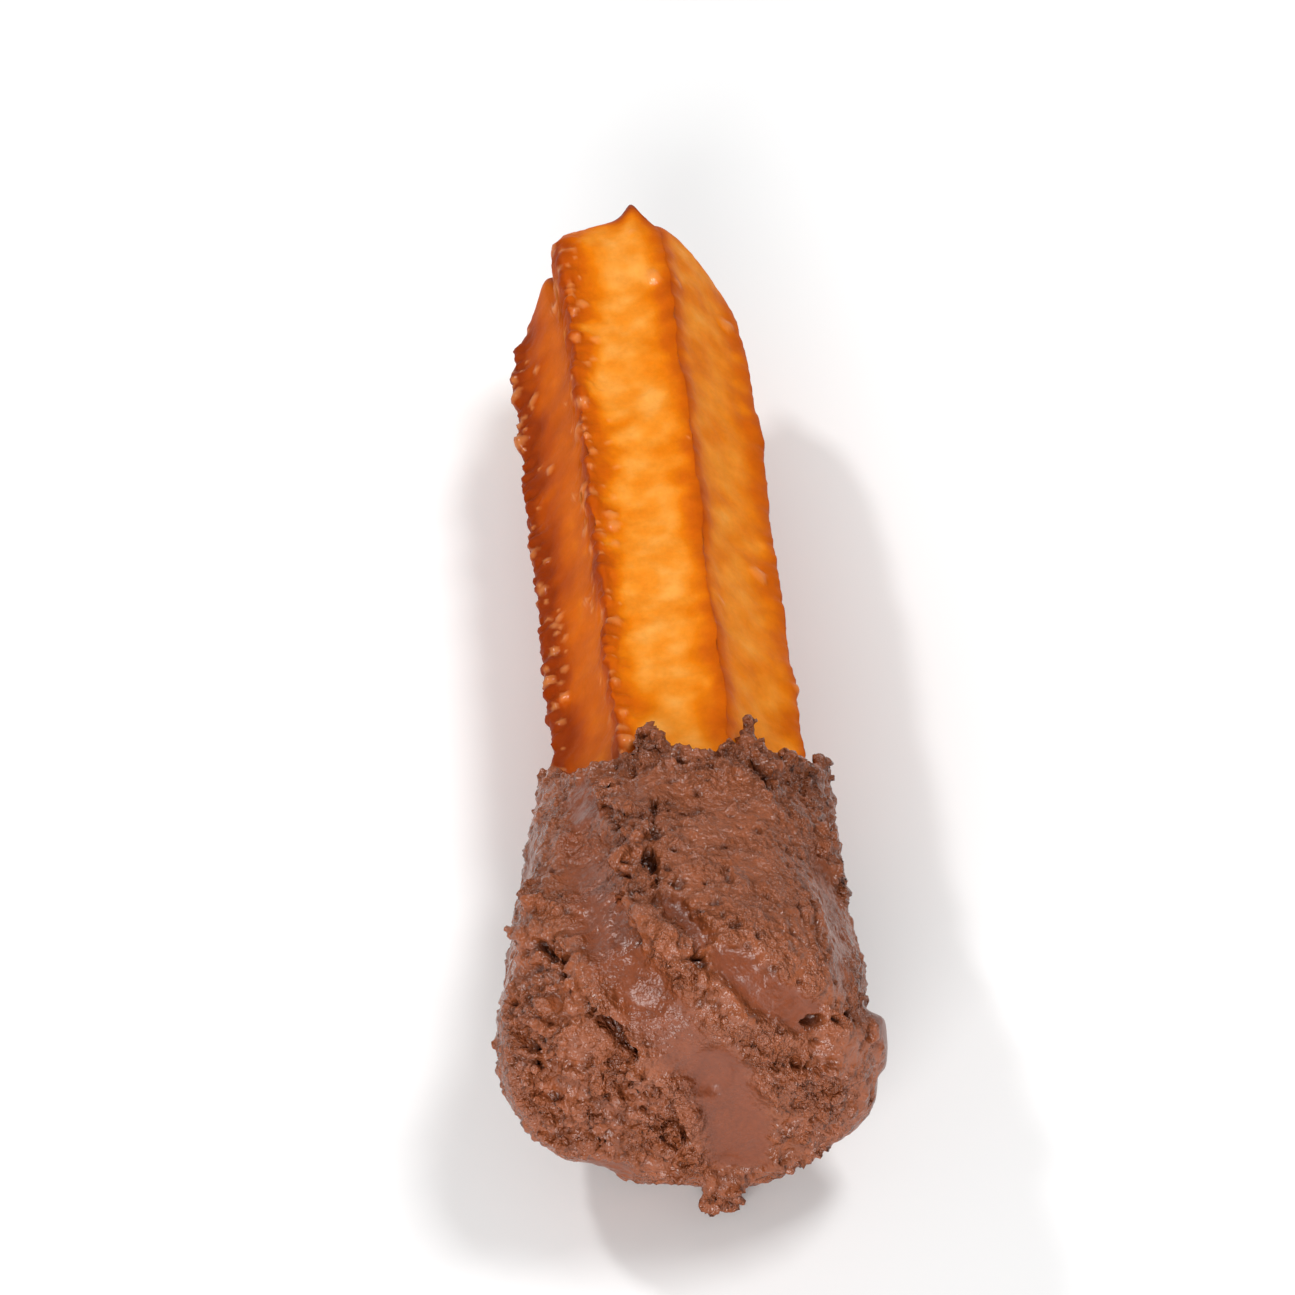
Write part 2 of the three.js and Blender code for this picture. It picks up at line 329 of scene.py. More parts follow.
def browning(point, turn, along, ridge, off):
    """How brown the crust is, 0 to 1, from the ridge beside it and its valley."""
    _, browned, minus, plus = RIDGE_CHARACTER[ridge]
    ragged = 1 + 0.5 * noise.noise((along * 0.3, ridge * 4.7, 3.3)) + 0.7 * noise.noise(point * 0.42)
    width = max((plus if off > 0 else minus) * ragged, 1.5)
    beyond = ridge if off > 0 else ridge - 1
    valley = VALLEY_BROWN[beyond if beyond >= -4 else 3]
    patches = 0.5 + 0.5 * noise.noise(point * 0.2 + Vector((0, 9, 2)))
    uphill = turn_between(turn, RIDGE_TURN + beyond * PITCH) / PITCH
    valley *= 0.75 + 0.4 * uphill + 0.5 * (patches - 0.5)
    mottled = 0.13 * noise.noise(point * 0.4) + 0.05 * noise.noise(point * 1.1 + Vector((2, 6, 1)))
    return browned * math.exp(-((abs(off) / width) ** 1.6)) + valley + mottled


def rough_dough(bm):
    for corner in bm.verts:
        turn, along, radius = place_on_stick(corner.co)
        ridge, off = nearest_ridge(drifted(turn, along))
        blistered = RIDGE_CHARACTER[ridge][0]
        from_end = free_end(turn) - along
        on_skin = smooth(0.5, 0.85, radius / CREST_FREE) * smooth(-0.5, 3, from_end)
        top = bell(off, 4.6) * on_skin
        worn = 0.35 * bell(off, 3.2) * (1 - blistered)
        flank = bell(off, 9) * on_skin
        teeth = 0.5 * noise.noise((along * 0.45, ridge * 7.1, 1.3))
        teeth += 0.42 * noise.noise((along * 1.1, ridge * 2.9, 8.1))
        pimples = noise.turbulence(corner.co * 0.8, 3, True) - 0.3
        swelling = 0.22 * noise.noise(corner.co * 0.16)
        swelling += 0.1 * noise.noise(corner.co * 0.5 + Vector((3, 1, 7)))
        skin_grain = 0.035 * noise.noise(corner.co * 1.9)
        lump = 0.9 * bell((corner.co - CREST_LUMP).length, 3.4)
        lift = top * (0.25 + 0.75 * blistered) * teeth + flank * 0.5 * blistered * pimples
        rim = 0.5 * bell(from_end - 0.3, 0.9) * smooth(0.55, 0.75, radius / CREST_FREE)
        nub = 1.1 * bell(from_end, 2.0) * bell(turn_between(turn, NUB_TURN), 10)
        inside = 0.12 + 0.16 * noise.noise(corner.co * 0.35)
        brown = mix(inside, browning(corner.co, turn, along, ridge, off), on_skin) + rim + nub
        corner[brown_layer] = min(max(brown, 0.0), 1.0)
        crumb = 0.5 * (noise.turbulence(corner.co * 0.3, 3, True) - 0.3)
        crumb *= smooth(0.8, 0.5, radius / CREST_FREE)
        corner.co += corner.normal * (lift + swelling + skin_grain + lump + crumb - worn)


rough_dough(dough)
dough.normal_update()
print("brownest corner", round(max(v[brown_layer] for v in dough.verts), 2))

# %% [markdown]
# The beads are blown one by one: a seeded random walk along each ridge picks their places,
# and every corner within a bead's reach is lifted onto its small dome. A k-d tree finds
# those corners quickly.

# %% Beads along the ridges
shuffle = random.Random(7)
STEP_BETWEEN_BEADS = 0.32


def bead_places():
    for ridge in range(-4, 4):
        along = 3.0
        blistered = RIDGE_CHARACTER[ridge][0]
        turn = RIDGE_TURN + ridge * PITCH
        while along < free_end(turn) - 1.5:
            crowd = 0.5 + 1.1 * noise.noise((along * 0.13, ridge * 6.1, 2.2))
            along += STEP_BETWEEN_BEADS * shuffle.uniform(0.4, 2.2) / min(max(crowd, 0.12), 1.0)
            size = shuffle.uniform(0.22, 0.4) + 0.6 * shuffle.random() ** 5
            sideways = shuffle.gauss(-1.2, 5.5) + wander(along, ridge)
            if shuffle.random() < blistered:
                yield around_axis(along, turn + sideways, star_radius(turn + sideways, along)), size


def blow_beads(bm, places):
    tree = kdtree.KDTree(len(bm.verts))
    for index, corner in enumerate(bm.verts):
        tree.insert(corner.co, index)
    tree.balance()
    bm.verts.ensure_lookup_table()
    count = 0
    for place, size in places:
        centre = tree.find(place)[0]
        for _, index, distance in tree.find_range(centre, 1.3 * size):
            corner = bm.verts[index]
            reach = size * (1 + 0.6 * noise.noise(corner.co * 1.4))
            dome = math.sqrt(max(1 - (distance / reach) ** 2, 0.0))
            corner.co += corner.normal * 0.36 * size * dome
            corner[bead_layer] = max(corner[bead_layer], dome)
        count += 1
    return count


print("beads", blow_beads(dough, bead_places()))


# %% [markdown]
# ## Finishes: shared shader groups
# Two effects appear on both foods: a fine mottling of the colour, and a fine grain that
# bends the light. Each is a node group with named sockets, built once and given other
# sizes in each material.

# %% A small kit for node groups
def new_group(name, inputs, outputs):
    group = bpy.data.node_groups.new(name, "ShaderNodeTree")
    for socket_name, kind, value in inputs:
        socket = group.interface.new_socket(name=socket_name, in_out="INPUT", socket_type=kind)
        if value is not None:
            socket.default_value = value
    for socket_name, kind in outputs:
        group.interface.new_socket(name=socket_name, in_out="OUTPUT", socket_type=kind)
    return group


def add(tree, kind, **settings):
    node = tree.nodes.new(kind)
    for name, value in settings.items():
        setattr(node, name, value)
    return node


def math_node(tree, operation, first, second):
    """A Math node; each side is a socket to link or a plain number."""
    node = add(tree, "ShaderNodeMath", operation=operation)
    for socket, value in zip(node.inputs, (first, second)):
        if isinstance(value, bpy.types.NodeSocket):
            tree.links.new(value, socket)
        else:
            socket.default_value = value
    return node.outputs[0]


def noise_node(tree, position, scale, detail, roughness=0.55):
    node = add(tree, "ShaderNodeTexNoise")
    tree.links.new(position, node.inputs["Vector"])
    if isinstance(scale, bpy.types.NodeSocket):
        tree.links.new(scale, node.inputs["Scale"])
    else:
        node.inputs["Scale"].default_value = scale
    node.inputs["Detail"].default_value = detail
    node.inputs["Roughness"].default_value = roughness
    return node.outputs["Fac"]


def mottle_group():
    """Lightens and darkens a colour in soft patches with fine specks."""
    group = new_group(
        "mottle",
        [("Position", "NodeSocketVector", None), ("Color", "NodeSocketColor", (1, 1, 1, 1)),
         ("Patch Scale", "NodeSocketFloat", 400.0), ("Speck Scale", "NodeSocketFloat", 1800.0),
         ("Amount", "NodeSocketFloat", 0.2)],
        [("Color", "NodeSocketColor")],
    )
    enter = add(group, "NodeGroupInput").outputs
    leave = add(group, "NodeGroupOutput").inputs
    patches = noise_node(group, enter["Position"], enter["Patch Scale"], 3.0)
    specks = noise_node(group, enter["Position"], enter["Speck Scale"], 2.0)
    patches = math_node(group, "SUBTRACT", patches, 0.5)
    specks = math_node(group, "SUBTRACT", specks, 0.5)
    both = math_node(group, "ADD", patches, specks)
    factor = math_node(group, "ADD", math_node(group, "MULTIPLY", both, enter["Amount"]), 1.0)
    scale = add(group, "ShaderNodeVectorMath", operation="SCALE")
    group.links.new(enter["Color"], scale.inputs[0])
    group.links.new(factor, scale.inputs["Scale"])
    group.links.new(scale.outputs[0], leave["Color"])
    return group


def grain_group():
    """Height of a fine two-size grain, for a Bump node, and a mask of its high spots."""
    group = new_group(
        "grain",
        [("Position", "NodeSocketVector", None), ("Coarse Scale", "NodeSocketFloat", 900.0),
         ("Fine Scale", "NodeSocketFloat", 3000.0), ("Fine Share", "NodeSocketFloat", 0.45)],
        [("Height", "NodeSocketFloat"), ("High Spots", "NodeSocketFloat")],
    )
    enter = add(group, "NodeGroupInput").outputs
    leave = add(group, "NodeGroupOutput").inputs
    coarse = noise_node(group, enter["Position"], enter["Coarse Scale"], 2.0)
    fine = noise_node(group, enter["Position"], enter["Fine Scale"], 2.0)
    height = math_node(group, "ADD", coarse, math_node(group, "MULTIPLY", fine, enter["Fine Share"]))
    group.links.new(height, leave["Height"])
    high = add(group, "ShaderNodeMapRange")
    group.links.new(fine, high.inputs["Value"])
    high.inputs["From Min"].default_value = 0.6
    high.inputs["From Max"].default_value = 0.75
    group.links.new(high.outputs[0], leave["High Spots"])
    return group


MOTTLE = mottle_group()
GRAIN = grain_group()
print("groups", [g.name for g in bpy.data.node_groups])


# %% [markdown]
# A material starts from Object coordinates, so a pattern keeps its true size on the piece.
# The helpers below place a group, read an attribute, or mix, ramp and bump, so that each
# food's own material can be read from top to bottom.

# %% Placing a group in a material
def place_group(tree, group, position, **values):
    node = add(tree, "ShaderNodeGroup", node_tree=group)
    tree.links.new(position, node.inputs["Position"])
    for name, value in values.items():
        socket = node.inputs[name.replace("_", " ")]
        if isinstance(value, bpy.types.NodeSocket):
            tree.links.new(value, socket)
        else:
            socket.default_value = value
    return node.outputs


def start_material(name):
    material = bpy.data.materials.new(name)
    material.use_nodes = True
    tree = material.node_tree
    shader = tree.nodes["Principled BSDF"]
    position = add(tree, "ShaderNodeTexCoord").outputs["Object"]
    return material, tree, shader, position


def color_ramp(tree, factor, stops):
    """A colour ramp; each stop is (place, linear red, green, blue)."""
    ramp = add(tree, "ShaderNodeValToRGB")
    elements = ramp.color_ramp.elements
    while len(elements) < len(stops):
        elements.new(0.5)
    for element, (place, red, green, blue) in zip(elements, stops):
        element.position = place
        element.color = (red, green, blue, 1)
    tree.links.new(factor, ramp.inputs["Fac"])
    return ramp.outputs["Color"]


def attribute(tree, name):
    return add(tree, "ShaderNodeAttribute", attribute_name=name).outputs["Fac"]


def mix_color(tree, factor, first, second):
    node = add(tree, "ShaderNodeMix", data_type="RGBA")
    for socket, value in ((node.inputs[0], factor), (node.inputs[6], first), (node.inputs[7], second)):
        if isinstance(value, bpy.types.NodeSocket):
            tree.links.new(value, socket)
        elif isinstance(value, tuple):
            socket.default_value = (*value, 1)
        else:
            socket.default_value = value
    return node.outputs[2]


def bump(tree, height, distance, strength=1.0):
    node = add(tree, "ShaderNodeBump")
    node.inputs["Distance"].default_value = distance
    node.inputs["Strength"].default_value = strength
    tree.links.new(height, node.inputs["Height"])
    return node.outputs["Normal"]


print("inputs of the grain", [socket.name for socket in GRAIN.interface.items_tree])


# %% [markdown]
# ## Fried crust
# One number, how brown the crust is, drives the colour from pale gold to dark red-brown.
# The beads are painted paler, partly as thin crust and partly as a painted highlight, and a clear coat on
# them alone makes them glint.
# The rest of the crust has only a weak, warm-tinted sheen, since a strong white one would
# lie on the gold like a haze. A little light passes through the dough.

# %% The crust's material
def fried_crust():
    material, tree, shader, position = start_material("fried_crust")
    blotches = noise_node(tree, position, 330.0, 3.0)
    uneven = math_node(tree, "MULTIPLY", math_node(tree, "SUBTRACT", blotches, 0.5), 0.14)
    brown = math_node(tree, "ADD", attribute(tree, "brown"), uneven)
    crust = color_ramp(tree, brown, [
        (0.0, 0.84, 0.345, 0.06),
        (0.1, 0.79, 0.25, 0.018),
        (0.2, 0.72, 0.178, 0.002),
        (0.36, 0.58, 0.11, 0.001),
        (0.62, 0.41, 0.06, 0.001),
        (1.0, 0.24, 0.027, 0.001),
    ])
    mottle = place_group(
        tree, MOTTLE, position, Color=crust, Patch_Scale=550.0, Speck_Scale=2300.0, Amount=0.2)
    beads = math_node(tree, "MULTIPLY", attribute(tree, "bead"), 0.42)
    # the beads are mixed towards a pale gold: partly their own lighter crust, partly a painted highlight
    crust_with_bead_highlight = mix_color(tree, beads, mottle["Color"], (0.84, 0.32, 0.085))
    tree.links.new(crust_with_bead_highlight, shader.inputs["Base Color"])
    grain = place_group(tree, GRAIN, position, Coarse_Scale=1100.0, Fine_Scale=3200.0)
    tree.links.new(bump(tree, grain["Height"], 0.00008, 0.5), shader.inputs["Normal"])
    gloss = add(tree, "ShaderNodeMapRange")
    tree.links.new(grain["High Spots"], gloss.inputs["Value"])
    gloss.inputs["To Min"].default_value = 0.52
    gloss.inputs["To Max"].default_value = 0.36
    tree.links.new(gloss.outputs[0], shader.inputs["Roughness"])
    shader.inputs["Specular IOR Level"].default_value = 0.07
    tree.links.new(math_node(tree, "MULTIPLY", beads, 0.8), shader.inputs["Coat Weight"])
    shader.inputs["Coat Roughness"].default_value = 0.2
    shader.inputs["Specular Tint"].default_value = (1.0, 0.72, 0.35, 1)
    shader.inputs["Subsurface Weight"].default_value = 0.12
    shader.inputs["Subsurface Radius"].default_value = (1.0, 0.4, 0.12)
    shader.inputs["Subsurface Scale"].default_value = 0.0012
    return material


finished(dough, "churro_dough", fried_crust(), "dough_stick")


# %% [markdown]
# ## The chocolate coat
# The chocolate is as thick as cold hazelnut spread. A knife pressed it on in a few
# strokes: where the blade passed it left smooth, shallow channels, and what it pushed
# aside stands between them as crumbly banks. The coat is shaped in three steps: the plain
# lump with its strokes, the torn flakes on it, and then one voxel remesh that fuses them
# and gives an even mesh fine enough for the crumbs.

# %% Measures of the coat
COAT_DOME = 8.5
COAT_SQUARENESS = 2.9
COAT_EDGE_TOP = 26.3
COAT_EDGE_SIDE = 35
COAT_EDGE_UNDER = 37
COAT_EDGE_CURVE = 6
COAT_LIP = 0.25
COAT_REACH = {"left": 18.5, "right": 13.2, "top": 15.4, "under": 14.6}
COAT_SECTION = 2.25
COAT_FULL = 0.93
COAT_GROWTH = 0.75
COAT_SIDES = 160
RINGS_ON_DOME = 24
RINGS_TO_EDGE = 48
RINGS_INTO_LIP = 8
COAT_VOXEL = 0.29
SMOOTHING_ROUNDS = 5
# height in mm and rate round the stick of the waves in the torn edge
COAT_EDGE_WAVES = [(1.1, 3.1), (0.9, 8.3), (0.5, 19)]
# turn, width in degrees and height in mm of the peaks on it
COAT_PEAKS = [(16, 6, 4.4), (-25, 5, 3.8), (58, 12, 1.2), (-140, 16, 2)]


def coat_edge(turn):
    angle = math.radians(turn)
    plain = COAT_EDGE_TOP if math.cos(angle) > 0 else COAT_EDGE_UNDER
    edge = mix(plain, COAT_EDGE_SIDE, abs(math.sin(angle)) ** COAT_EDGE_CURVE)
    edge += sum(height * bell(turn_between(turn, peak), width) for peak, width, height in COAT_PEAKS)
    around = Vector((math.sin(angle), math.cos(angle), 0))
    for height, rate in COAT_EDGE_WAVES:
        edge += height * noise.noise(around * rate)
    return edge


def coat_radius(turn, deep):
    """deep is 0 at the torn edge and 1 from the fullest part to the front."""
    angle = math.radians(turn)
    lip = CREST_DIPPED + COAT_LIP
    fill = COAT_GROWTH * deep + (1 - COAT_GROWTH) * math.sin(0.5 * math.pi * deep)
    across = mix(lip, COAT_REACH["left" if math.sin(angle) > 0 else "right"], fill)
    upright = mix(lip, COAT_REACH["top" if math.cos(angle) > 0 else "under"], fill)
    x = abs(math.sin(angle)) / across
    z = abs(math.cos(angle)) / upright
    return (x ** COAT_SECTION + z ** COAT_SECTION) ** (-1 / COAT_SECTION)


print("torn edge on top at", round(coat_edge(0), 1), "mm, radius", round(coat_radius(0, 1), 1), "mm")


# %% [markdown]
# The vector noise of this library takes its offsets from the clock unless it is seeded, so
# it is seeded here, and every run spreads the same chocolate.

# %% Seed the noise
noise.seed_set(11)
print("noise seeded", [round(n, 3) for n in noise.noise_vector((0.5, 0.2, 0.7))])

# %% [markdown]
# Each stroke of the knife is a chain of points near the surface. It raises or lowers what
# lies near it, and leaves it torn or pressed smooth. One table holds them all, so the same
# table shapes the lump, says where flakes stand, and tells the material what is smooth.

# %% Strokes of the knife
# points in the stick's frame, half width, lift in mm, how torn, how smooth
STROKES = [
    # the main channel, from the upper left down to the broad smooth patch in front
    ([(18, 11.2, 11.8), (11.4, 10.5, 13.1), (4.5, 9.6, 13.6), (-1.4, 7.3, 12.7)], 2.7, -1.0, 0, 0.8),
    ([(-1.4, 7.3, 12.7), (-3.6, 4.4, 9), (-4.4, 1.3, 4)], 2.9, -0.8, 0, 0.8),
    ([(-4.4, 0.8, 4), (-4.5, -1.1, -2.1), (-4.2, -1.5, -6.2)], 3.3, -0.7, 0, 1),
    # the crumbly bank on its right
    ([(22, 7.5, 12.6), (15.6, 6.2, 14.4), (9.4, 6.4, 14.7), (3.8, 5.6, 14.8), (0.3, 3.7, 14.6)],
     1.4, 1.1, 0.9, 0),
    ([(0.3, 3.7, 14.6), (-1.8, 2.7, 13.1), (-2.7, 0.6, 12.1), (-3.6, -1.5, 9.4)], 1.2, 1.0, 0.9, 0),
    ([(-3.6, -1.5, 9.4), (-4.1, -2.7, 6.4), (-4.3, -4.8, 3.5), (-4.3, -5.4, -0.3), (-4.2, -5.3, -5)],
     1.1, 0.5, 0.9, 0),
    # two small smooth hollows beyond the bank, and the smooth right margin
    ([(5.2, 3.8, 15), (1.4, 1.6, 15)], 1.5, -0.7, 0, 0.9),
    ([(-1.2, -1, 13.9), (-2.6, -3.8, 11.6), (-2.9, -7.1, 8.7)], 1.9, -0.6, 0, 1),
    ([(14, -10.9, 9.6), (8, -11.2, 9.6), (2.4, -11.3, 9)], 2.4, -0.35, 0, 0.5),
    ([(24.5, 10.5, 10), (21, 9.8, 11.6)], 2.1, -0.3, 0, 0.9),
    # the block at the lower right, with its smooth outer face
    ([(-1.8, -10.2, 3.2), (0.2, -12.6, 1), (0.2, -13.2, -2.5), (-0.5, -11.5, -6.5)], 3.4, 1.2, 0, 0.2),
    ([(0.6, -13.4, 3), (1.2, -14, -0.5)], 2.2, 0.8, 0, 0.3),
    ([(1.5, -15, 3), (2, -15, -5)], 2.6, 0, 0, 1),
    ([(-4, -7.8, 3), (-3.6, -8.2, -3), (-3.2, -6.5, -8)], 2.2, 0.2, 0.7, 0),
    # a flake that hangs off the front, and the torn hollow at the lower left
    ([(-3.6, -0.5, -10.5), (-3.8, -0.3, -12.2)], 1.9, 2, 1, 0),
    ([(2.4, 15.2, 9), (-2.3, 14.5, 2.2), (-3.4, 11.5, -2.8)], 4, -0.9, 1, 0),
    ([(-3.6, 10, 4.5), (-4.1, 6.8, -1), (-4.1, 5, -6.5)], 2.4, -0.8, 1, 0),
    ([(13.5, 15, 9.6), (9, 15.4, 9)], 2.6, 0.9, 0.5, 0),
    # the torn strip below the upper edge
    ([(26, 3.5, 12.8), (25, -5, 12.8), (26, -10.5, 9)], 2.6, 0.2, 0.9, 0),
    ([(24, -11, 7.5), (20, -11.6, 7.8), (15.5, -12.2, 7.5)], 2.3, 0.1, 0.8, 0),
    # narrow cracks: a lift below -1 is cut only after the remesh
    ([(12, 5, 14.7), (8.5, 4.8, 15)], 0.7, -2.0, 0.5, 0),
    ([(20, 8.2, 12.6), (16, 7.4, 14), (12.8, 7.6, 14.2), (6.5, 8, 14.4), (2, 6.6, 14.2)],
     0.5, -1.2, 0.4, 0),
    ([(19.5, 3.6, 14), (16.5, 4.4, 14.6), (14, 4, 15)], 0.55, -1.4, 0.5, 0),
    ([(1.5, 2.9, 14.9), (-0.8, 1.8, 14.2)], 0.6, -1.8, 0.5, 0),
    ([(-2.2, 1.2, 12.9), (-3.1, -0.9, 10.9)], 0.55, -1.6, 0.5, 0),
    ([(9, 16, 8.2), (4.5, 13.8, 10.8)], 0.65, -1.8, 0.5, 0),
    ([(3.5, 13.2, 11), (-1.8, 10.8, 10.4), (-3.3, 8.8, 8.2), (-4.1, 6.9, 5)], 0.6, -1.5, 0.5, 0),
    ([(-4.1, 6.9, 5), (-4.4, 4.6, 0.5), (-4.3, 3.2, -4.5)], 0.5, -1.2, 0.4, 0),
    ([(24.6, -5.1, 12.6), (21, -7, 12.6)], 0.65, -1.6, 0.5, 0),
    ([(27, -1.8, 13), (24.4, -3, 13.3)], 0.5, -1.3, 0.5, 0),
    ([(-3, -7.4, 8.2), (-1.4, -10.4, 6.6), (0.4, -13, 5.6)], 0.6, -1.5, 0.3, 0),
    # the sides that face away and down
    ([(28, 8, -11), (12, 12, -10.5), (-1, 10, -9.5)], 3.2, -0.8, 0, 0.8),
    ([(30, -9, -9), (14, -10.5, -9), (0, -9.5, -9)], 3, -0.7, 0, 0.8),
    ([(29, 11.5, 3), (20, 14, 2.5), (8, 17.8, 1)], 2.6, -0.6, 0, 0.7),
    ([(28, -12, 0), (16, -12.6, -1)], 2.6, -0.5, 0, 0.7),
]


def ramp(low, high, values):
    t = np.clip((values - low) / (high - low), 0, 1)
    return t * t * (3 - 2 * t)


def distance_to_chain(points, chain):
    nearest = np.full(len(points), 1e9)
    for start, end in zip(chain, chain[1:]):
        step = np.subtract(end, start)
        offset = points - np.array(start)
        share = np.clip(offset @ step / (step @ step), 0, 1)
        nearest = np.minimum(nearest, np.linalg.norm(offset - share[:, None] * step, axis=1))
    return nearest


def knife_work(points):
    """Lift, tornness, smoothness and creases that the strokes give to points of the coat."""
    shaken = [p + 0.45 * noise.noise_vector(p * 0.45) + 0.35 * noise.noise_vector(p * 1.5) for p in points]
    shaken = np.array([tuple(p) for p in shaken])
    lift, torn, pressed, crease = np.zeros((4, len(points)))
    for chain, half_width, rise, tearing, pressing in STROKES:
        distance = distance_to_chain(shaken, chain) / half_width
        torn = np.maximum(torn, tearing * ramp(1.3, 0.85, distance))
        pressed = np.maximum(pressed, pressing * ramp(1.3, 0.55, distance))
        if rise < -1:
            crease = np.maximum(crease, -rise * ramp(1.2, 0.3, distance))
        else:
            lift += rise * (ramp(1.05, 0.7, distance) if rise > 0 else ramp(1.2, 0.55, distance))
    return lift, torn, pressed * (1 - torn), crease


def outward(point):
    """Direction in which the lump grows at a point: radial, tipping over the front."""
    return Vector((0.6 * min(point.x - 4, 0), point.y, point.z)).normalized()


print("strokes of the knife", len(STROKES))


# %% [markdown]
# The lump is a skin of rings like the dough: a squarish dome in front, a side that thins
# towards the torn edge, and a lip that closes in on the stick. Only its broad shape is made
# here, so few corners are enough.

# %% The plain lump with its strokes
def coat_point(turn, station):
    back, scale, share = station
    fullest = COAT_DOME - COAT_FRONT
    edge = coat_edge(turn) if scale > 0 else COAT_EDGE_TOP + 3
    along = mix(-COAT_FRONT, fullest, back) + share * (edge - fullest)
    return around_axis(along, turn, scale * coat_radius(turn, min((1 - share) / COAT_FULL, 1.0)))


def coat_stations():
    stations = []
    for i in range(RINGS_ON_DOME):
        quarter = math.radians(90 * i / RINGS_ON_DOME)
        power = 2 / COAT_SQUARENESS
        stations.append((1 - math.cos(quarter) ** power, math.sin(quarter) ** power, 0.0))
    stations += [(1.0, 1.0, i / RINGS_TO_EDGE) for i in range(RINGS_TO_EDGE + 1)]
    stations += [(1.0, 1 - i / RINGS_INTO_LIP, 1.0) for i in range(1, RINGS_INTO_LIP + 1)]
    return stations


def spread_with_knife(bm):
    corners = list(bm.verts)
    lifts, torn, _, _ = knife_work([c.co for c in corners])
    for corner, lift, tearing in zip(corners, lifts, torn):
        turn, along, _ = place_on_stick(corner.co)
        near_edge = smooth(0.3, 2.5, coat_edge(turn) - along)
        lumps = 0.5 * noise.noise(corner.co * 0.14) + (0.35 + 1.4 * tearing) * noise.noise(corner.co * 0.3)
        corner.co += outward(corner.co) * (lift + lumps) * near_edge


coat = skin(COAT_SIDES, coat_stations(), coat_point)
spread_with_knife(coat)
print("plain coat", len(coat.verts), "corners")

# %% [markdown]
# Flakes and crumbs are small icospheres, squashed and turned at random and half sunk in
# the coat. They stand thickly where the knife tore the chocolate and on the torn edge,
# and sparsely elsewhere. Each is made in a bmesh of its own, which is much quicker than
# running the operator on the whole coat, and then added to it.

# %% Flakes on the coat
crumble = random.Random(21)
FLAKE = bpy.data.meshes.new("flake")


def add_flake(bm, place, size, flatness):
    small = bmesh.new()
    bmesh.ops.create_icosphere(small, subdivisions=1, radius=size)
    for corner in small.verts:
        corner.co *= 1 + 0.9 * noise.noise(corner.co * (1.4 / size) + place)
    axis = Vector([crumble.uniform(-1, 1) for _ in range(3)])
    turn = Matrix.Rotation(crumble.uniform(0, 6.28), 4, axis)
    squash = Matrix.Diagonal((1.0, crumble.uniform(0.55, 0.9), flatness, 1.0))
    bmesh.ops.transform(small, matrix=Matrix.Translation(place) @ turn @ squash, verts=small.verts)
    small.to_mesh(FLAKE)
    small.free()
    bm.from_mesh(FLAKE)


def ring_crowding(place):
    """Corners crowd towards the pole in front, so fewer of them may carry a flake."""
    return min(math.hypot(place.y, place.z) / 13, 1.0)


def add_flakes(bm):
    corners = list(bm.verts)
    _, torn, pressed, _ = knife_work([c.co for c in corners])
    normals = [c.normal.copy() for c in corners]
    places = [c.co.copy() for c in corners]
    count = 0
    for place, normal, tearing, pressing in zip(places, normals, torn, pressed):
        turn, along, _ = place_on_stick(place)
        edge = coat_edge(turn) - along
        if edge < -0.5 or along < -COAT_FRONT - 1:
            continue
        chance = 0.02 + 0.3 * tearing + 0.3 * bell(edge, 1.6)
        if crumble.random() < chance * (1 - pressing) * ring_crowding(place):
            size = crumble.uniform(0.32, 0.6) + (0.6 + 0.6 * tearing) * crumble.random() ** 4
            middle = place + normal * crumble.uniform(-0.35, 0.1) * size
            add_flake(bm, middle, size, crumble.uniform(0.45, 0.9))
            count += 1
    return count


print("flakes", add_flakes(coat))


# %% [markdown]
# The lump and its flakes still pass through each other. A voxel remesh lays one closed skin
# round them all, with even faces 0.29 mm wide, and rounds the places where
# they meet, as soft chocolate does.

# %% Fuse the lump and its flakes
def voxel_remesh(bm, voxel):
    """One closed even skin round everything in bm."""
    mesh = bpy.data.meshes.new("to_fuse")
    bm.to_mesh(mesh)
    bm.free()
    holder = bpy.data.objects.new("to_fuse", mesh)
    bpy.context.scene.collection.objects.link(holder)
    remesh = holder.modifiers.new("fuse", "REMESH")
    remesh.mode = "VOXEL"
    remesh.voxel_size = voxel
    shape = holder.evaluated_get(bpy.context.evaluated_depsgraph_get())
    fused = bmesh.new()
    fused.from_mesh(shape.to_mesh())
    shape.to_mesh_clear()
    bpy.data.objects.remove(holder)
    bpy.data.meshes.remove(mesh)
    fused.normal_update()
    return fused


coat = voxel_remesh(coat, COAT_VOXEL)
print("fused coat", len(coat.verts), "corners")

# %% [markdown]
# The last step is the crumb itself. Where the chocolate was torn, rounded crumbs with sharp
# creases between them stand up to a millimetre high. Where it was only dragged, a fine grain
# with small pits is left, stronger in some zones than in others, and where the blade
# pressed, the surface is smoothed instead. The narrow cracks of the stroke table are cut
# here too, up to two millimetres deep: the plain lump has too few corners to hold them.

# %% Crumbs and smooth channels
pressed_layer = coat.verts.layers.float.new("pressed")
# painted shade: how far each recess of the coat is darkened in its colour
crevice_shade_layer = coat.verts.layers.float.new("crevice_shade")


